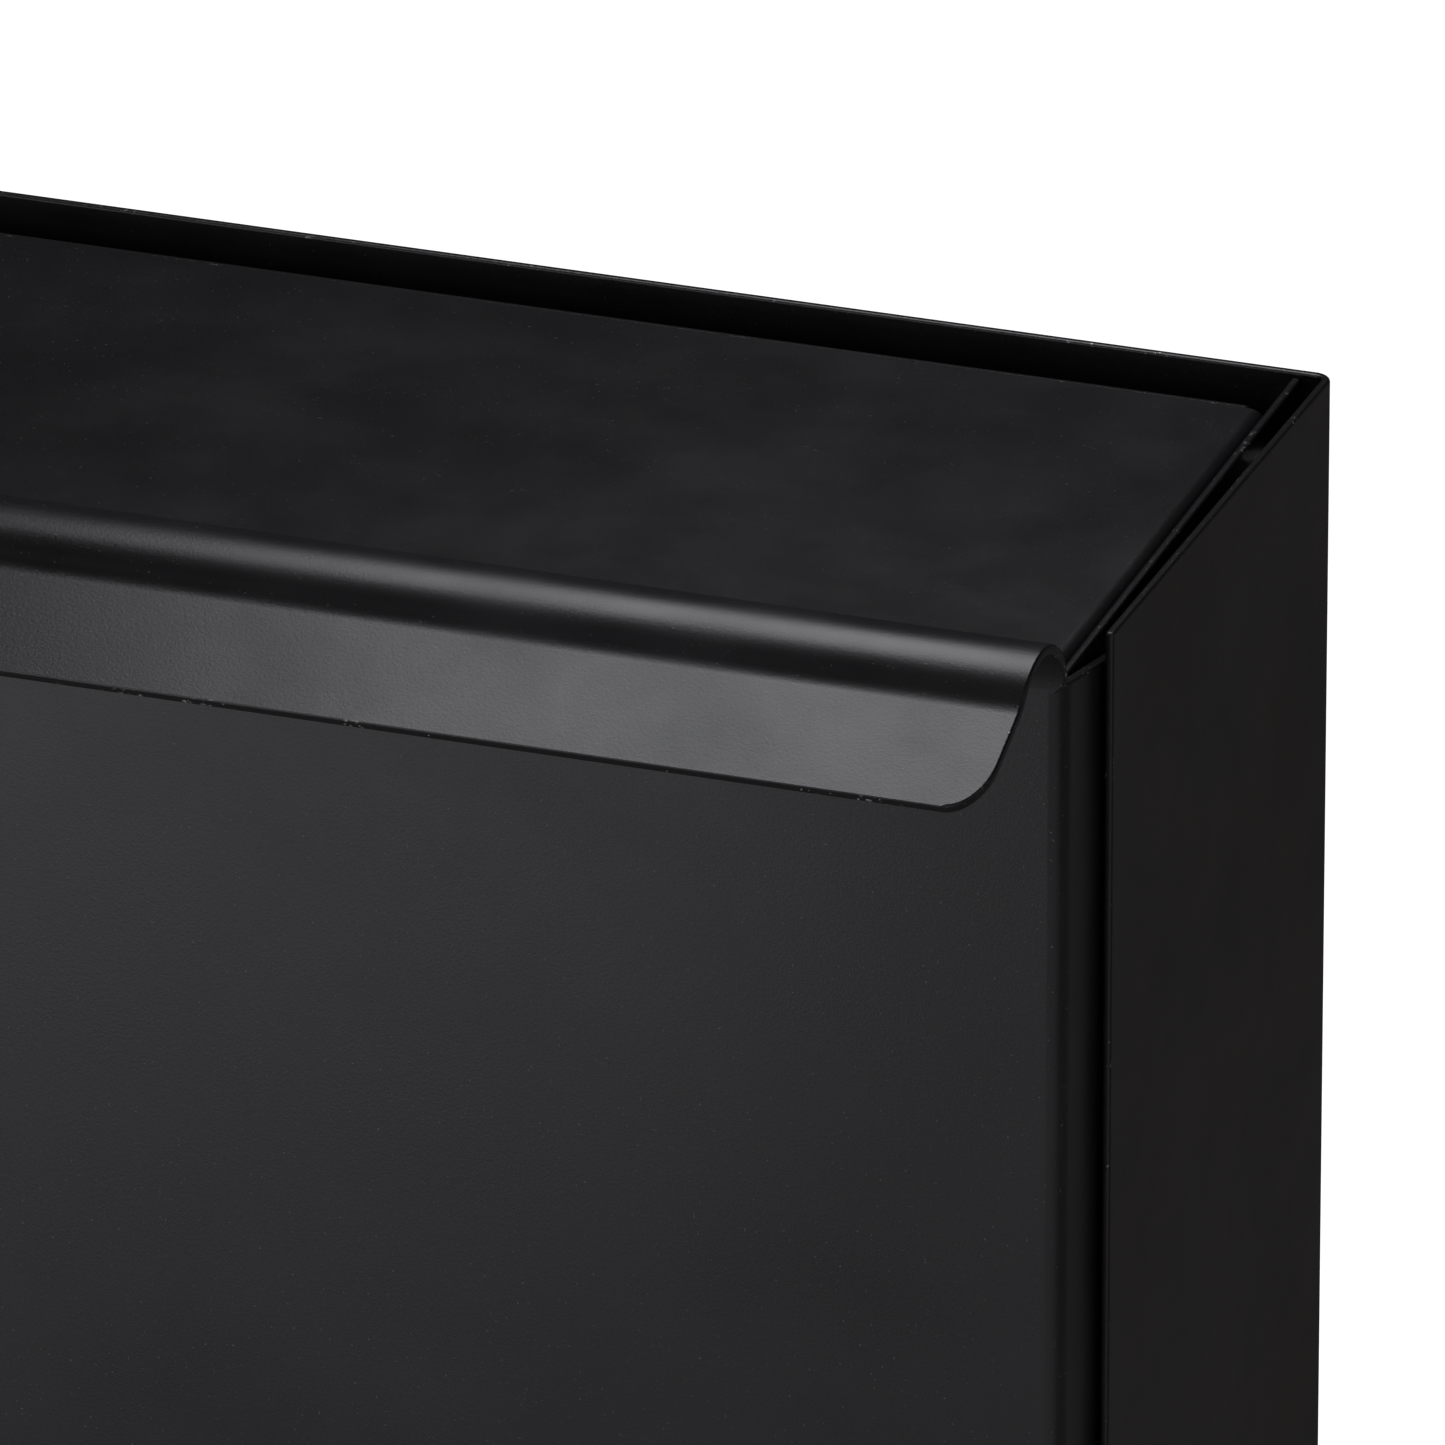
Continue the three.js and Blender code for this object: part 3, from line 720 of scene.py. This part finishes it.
# Front door: 1.5 mm sheet with side flanges that slide inside the shell and a short return under
# the floor. Its top edge is rolled forward over a crest and flared out as a lip for the fingers.
door_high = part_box("front_door")[1]
door_sheet = 1.5 * mm
door_flange = 25 * mm
door_face = shell_low.y - 13 * mm
roll_start_z = shell_high.z - 3.9 * mm
flange_top = shell_high.z - 2.4 * mm
flange_fall = 0.187
roll_radius = 10.33 * mm
roll_turn = 138
lip_radius = 7.9 * mm
lip_turn = 23.7
lip_length = 16.6 * mm
lip_corner_across = 5 * mm
lip_corner_along = 8.25 * mm
relief_height = 2.6 * mm
relief_depth = 1.9 * mm
return_length = 11.4 * mm
bush_hole = 4.15 * mm
deep_sink = 1.5 * mm
thin_inset = 0.06 * mm
lip_arc_step = 3
door_middle = door_high.x - door_sheet / 2
door_wall = door_flange - fold_radius
door_pairs = strip_pairs((-door_middle, door_face + door_flange), -90, door_sheet, [
    run(door_wall),
    turn(90, fold_radius),
    run(2 * (door_high.x - fold_radius)),
    turn(90, fold_radius),
    run(door_wall),
])
door = swept_sheet("door_sheet", door_pairs, [shell_low.z + fold_radius, flange_top], plan_to_space)
door_back = door_face + door_sheet
for corner in door.data.vertices:
    if corner.co.z > flange_top - 1 * mm:
        corner.co.z -= flange_fall * max(0.0, corner.co.y - door_back)
round_cut_edges(door)
lip_start = (door_face + door_sheet / 2, roll_start_z - deep_sink)
lip_steps = [
    run(deep_sink),
    turn(roll_turn, roll_radius),
    turn(-lip_turn, lip_radius),
    run(lip_length),
]
lip_pairs = strip_pairs(lip_start, 90, door_sheet - thin_inset, lip_steps, lip_arc_step)
lip = swept_sheet("lip", lip_pairs, [-door_high.x, door_high.x], side_to_space)
for corner in lip.data.vertices:
    rise = 1 - max(0.0, corner.co.z - roll_start_z) / relief_height
    if rise > 0 and corner.co.y > door_face - sink:
        corner.co.x -= math.copysign(relief_depth * rise * rise, corner.co.x)


def lip_corner_tool(side):
    """The waste outside a lip corner: a slab across the sheet with an elliptical inner edge."""
    heading = math.radians(90 + roll_turn - lip_turn)
    end = [(lip_pairs[-1][0][i] + lip_pairs[-1][1][i]) / 2 for i in (0, 1)]
    beyond = 2 * mm
    outline = [(door_high.x + beyond, beyond), (door_high.x + beyond, -lip_corner_along)]
    for i in range(13):
        angle = math.radians(i * 90 / 12)
        outline.append((
            door_high.x - lip_corner_across * (1 - math.cos(angle)),
            -lip_corner_along * (1 - math.sin(angle)),
        ))
    outline.append((door_high.x - lip_corner_across, beyond))
    layers = [
        [
            (
                side * across,
                end[0] + along * math.cos(heading) - lift * math.sin(heading),
                end[1] + along * math.sin(heading) + lift * math.cos(heading),
            )
            for across, along in outline
        ]
        for lift in (-beyond, beyond)
    ]
    return prism_tool("corner_waste", layers[0], layers[1])


for side in (-1, 1):
    combine(lip, lip_corner_tool(side), "DIFFERENCE")
round_cut_edges(lip)
combine(door, lip, "UNION")
return_start = (door_face + return_length, shell_low.z + door_sheet / 2)
return_steps = [run(return_length - fold_radius), turn(-90, fold_radius), run(deep_sink)]
return_pairs = strip_pairs(return_start, 180, door_sheet - thin_inset, return_steps, lip_arc_step)
return_half = door_high.x - fold_radius - door_sheet
bottom_return = swept_sheet("bottom_return", return_pairs, [-return_half, return_half], side_to_space)
round_cut_edges(bottom_return)
combine(door, bottom_return, "UNION")
drill_across(door, bush_hole, hinge_y, hinge_z)
smooth(door)
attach(door, "door")
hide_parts("front_door")


# Inside parts share one way of making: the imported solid's shape with its flat faces cleaned,
# its sharp rims rounded by a small radius as turned, stamped or moulded parts have, and smoothed.
def rounded_copy(node, width, material, body_name):
    mesh = frame["nodes"][node].data.copy()
    mesh.materials.clear()
    mesh.materials.append(material)
    piece = bpy.data.objects.new(node + "_part", mesh)
    bpy.context.collection.objects.link(piece)
    shape = bmesh.new()
    shape.from_mesh(mesh)
    bmesh.ops.remove_doubles(shape, verts=shape.verts, dist=1e-6)
    bmesh.ops.dissolve_limit(shape, angle_limit=math.radians(2), verts=shape.verts, edges=shape.edges)
    shape.to_mesh(mesh)
    shape.free()
    for polygon in mesh.polygons:
        polygon.material_index = 0
    round_edges(piece, width, 2, 32)
    smooth(piece, 50)
    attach(piece, body_name)
    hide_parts(node)


# Front rail: a folded angle of 1.2 mm sheet across the front under the lid. It carries the
# catches and the lid's pads, keeps the front of the body square, and wears the same black powder.
rounded_copy("front_rail", 0.2 * mm, satin_black, "shell")


# Metal finishes: one group draws the marks that turning, wire drawing or tumbling leaves, with
# fine scratches and a slow stain. Stainless, zinc plate and ferrite use it at different strengths.
def make_metal_group():
    group, start, end = new_group(
        "metal_marks",
        [
            ("Tone", "NodeSocketColor", (0.5, 0.5, 0.5, 1)),
            ("Stain Tone", "NodeSocketColor", (0.3, 0.28, 0.25, 1)),
            ("Line Scale", "NodeSocketFloat", 1200.0),
            ("Stain", "NodeSocketFloat", 0.3),
            ("Roughness", "NodeSocketFloat", 0.3),
        ],
        finish_outputs,
    )
    place = group.nodes.new("ShaderNodeTexCoord").outputs["Object"]
    stretch = group.nodes.new("ShaderNodeVectorMath")
    stretch.operation = "MULTIPLY"
    stretch.inputs[1].default_value = (1.0, 0.12, 1.0)
    group.links.new(place, stretch.inputs[0])
    lines = noise(group, stretch.outputs[0], start.outputs["Line Scale"], 2.0, 0.6)
    stain = noise(group, place, 160.0, 4.0, 0.6)
    speck = noise(group, place, 900.0, 2.0)
    mask = maths(group, "MULTIPLY", remap(group, stain, 0.42, 0.68), start.outputs["Stain"])
    color = mixed(group, mask, start.outputs["Tone"], start.outputs["Stain Tone"])
    rough = maths(group, "ADD", start.outputs["Roughness"], remap(group, lines, 0.3, 0.7, -0.06, 0.1))
    rough = maths(group, "ADD", rough, maths(group, "MULTIPLY", mask, 0.25))
    height = maths(group, "ADD", lines, maths(group, "MULTIPLY", speck, 0.4))
    group.links.new(color, end.inputs["Color"])
    group.links.new(rough, end.inputs["Roughness"])
    group.links.new(height, end.inputs["Height"])
    return group


metal_group = make_metal_group()


def metal(name, tone, stain_tone, stain, roughness, depth, metallic=1.0):
    values = {"Tone": tone, "Stain Tone": stain_tone, "Stain": stain, "Roughness": roughness}
    return finished(name, metal_group, values, depth, metallic)


# Hinge pins, washers, clips and rivets: turned and stamped stainless steel. Headed pins pass
# through the sheets on each side, and push-on clips keep them from working out.
steel_tone = (0.52, 0.51, 0.49, 1)
steel_stain = (0.30, 0.27, 0.23, 1)
stainless = metal("turned_stainless", steel_tone, steel_stain, 0.25, 0.26, 0.008 * mm)
steel_parts = [
    ("door_hinge_pin", 0.3 * mm),
    ("lid_hinge_pin", 0.25 * mm),
    ("door_hinge_clip", 0.12 * mm),
    ("lid_hinge_clip", 0.1 * mm),
    ("lid_hinge_washer", 0.12 * mm),
    ("catch_rivet", 0.2 * mm),
]
sides = ("right", "left")
for side in sides:
    for node, width in steel_parts:
        rounded_copy(f"{node}_{side}", width, stainless, "shell")


# Body studs and nuts: zinc plated steel. Four studs welded to the shell's back pass through the
# body's rear flanges, and a hex nut on each clamps the body in place.
zinc_tone = (0.55, 0.56, 0.57, 1)
zinc_stain = (0.42, 0.42, 0.40, 1)
zinc_plate = metal("zinc_plate", zinc_tone, zinc_stain, 0.5, 0.38, 0.012 * mm)
for number in range(1, 5):
    rounded_copy(f"body_stud_{number}", 0.2 * mm, zinc_plate, "shell")
    rounded_copy(f"body_nut_{number}", 0.3 * mm, zinc_plate, "shell")


# Catch magnets: pressed and fired ferrite blocks, dark grey and dull with a fine grain.
# Each is pushed into its housing and pulls on the steel of the door's upper edge.
ferrite_tone = (0.045, 0.045, 0.048, 1)
ferrite_stain = (0.09, 0.085, 0.08, 1)
ferrite = metal("fired_ferrite", ferrite_tone, ferrite_stain, 0.5, 0.55, 0.03 * mm, 0.35)
for side in sides:
    rounded_copy(f"catch_magnet_{side}", 0.25 * mm, ferrite, "shell")


# Moulded finishes: one group gives plastic and rubber their fine mould texture, a slow change
# of tone, and pale rub marks on the high spots.
def make_mould_group():
    group, start, end = new_group(
        "moulded_skin",
        [
            ("Tone", "NodeSocketColor", (0.05, 0.05, 0.05, 1)),
            ("Rub Tone", "NodeSocketColor", (0.12, 0.12, 0.12, 1)),
            ("Grain Scale", "NodeSocketFloat", 1600.0),
            ("Rub", "NodeSocketFloat", 0.2),
            ("Roughness", "NodeSocketFloat", 0.5),
        ],
        finish_outputs,
    )
    place = group.nodes.new("ShaderNodeTexCoord").outputs["Object"]
    grain = noise(group, place, start.outputs["Grain Scale"], 2.0, 0.5)
    rub = noise(group, place, 240.0, 4.0, 0.65)
    mask = maths(group, "MULTIPLY", remap(group, rub, 0.5, 0.75), start.outputs["Rub"])
    color = mixed(group, mask, start.outputs["Tone"], start.outputs["Rub Tone"])
    rough = maths(group, "ADD", start.outputs["Roughness"], remap(group, rub, 0.3, 0.7, -0.06, 0.06))
    group.links.new(color, end.inputs["Color"])
    group.links.new(rough, end.inputs["Roughness"])
    group.links.new(grain, end.inputs["Height"])
    return group


mould_group = make_mould_group()


def moulded(name, tone, rub_tone, rub, roughness, depth):
    values = {"Tone": tone, "Rub Tone": rub_tone, "Rub": rub, "Roughness": roughness}
    return finished(name, mould_group, values, depth)


# Catch housings: moulded black plastic boxes, open at the front for the magnet and riveted
# inside the angle of the front rail.
plastic_tone = (0.016, 0.016, 0.017, 1)
plastic_rub = (0.05, 0.05, 0.05, 1)
black_plastic = moulded("housing_plastic", plastic_tone, plastic_rub, 0.4, 0.45, 0.02 * mm)
for side in sides:
    rounded_copy(f"catch_housing_{side}", 0.35 * mm, black_plastic, "shell")


# Hinge bushes: turned nylon, off white, pressed into the door's flanges so the coated sheet
# never rubs on the steel pins.
nylon_tone = (0.62, 0.60, 0.54, 1)
nylon_rub = (0.35, 0.33, 0.30, 1)
nylon = moulded("natural_nylon", nylon_tone, nylon_rub, 0.35, 0.4, 0.01 * mm)
for side in sides:
    rounded_copy(f"door_hinge_bush_{side}", 0.2 * mm, nylon, "door")


# Lid pads and door buffers: soft black rubber glued where the lid and the door land, so they
# close quietly and the coating isn't worn through.
rubber_tone = (0.018, 0.018, 0.018, 1)
rubber_rub = (0.07, 0.068, 0.065, 1)
soft_rubber = moulded("soft_rubber", rubber_tone, rubber_rub, 0.6, 0.72, 0.04 * mm)
for side in sides:
    rounded_copy(f"lid_pad_{side}", 0.4 * mm, soft_rubber, "shell")
    rounded_copy(f"door_buffer_{side}", 0.6 * mm, soft_rubber, "shell")
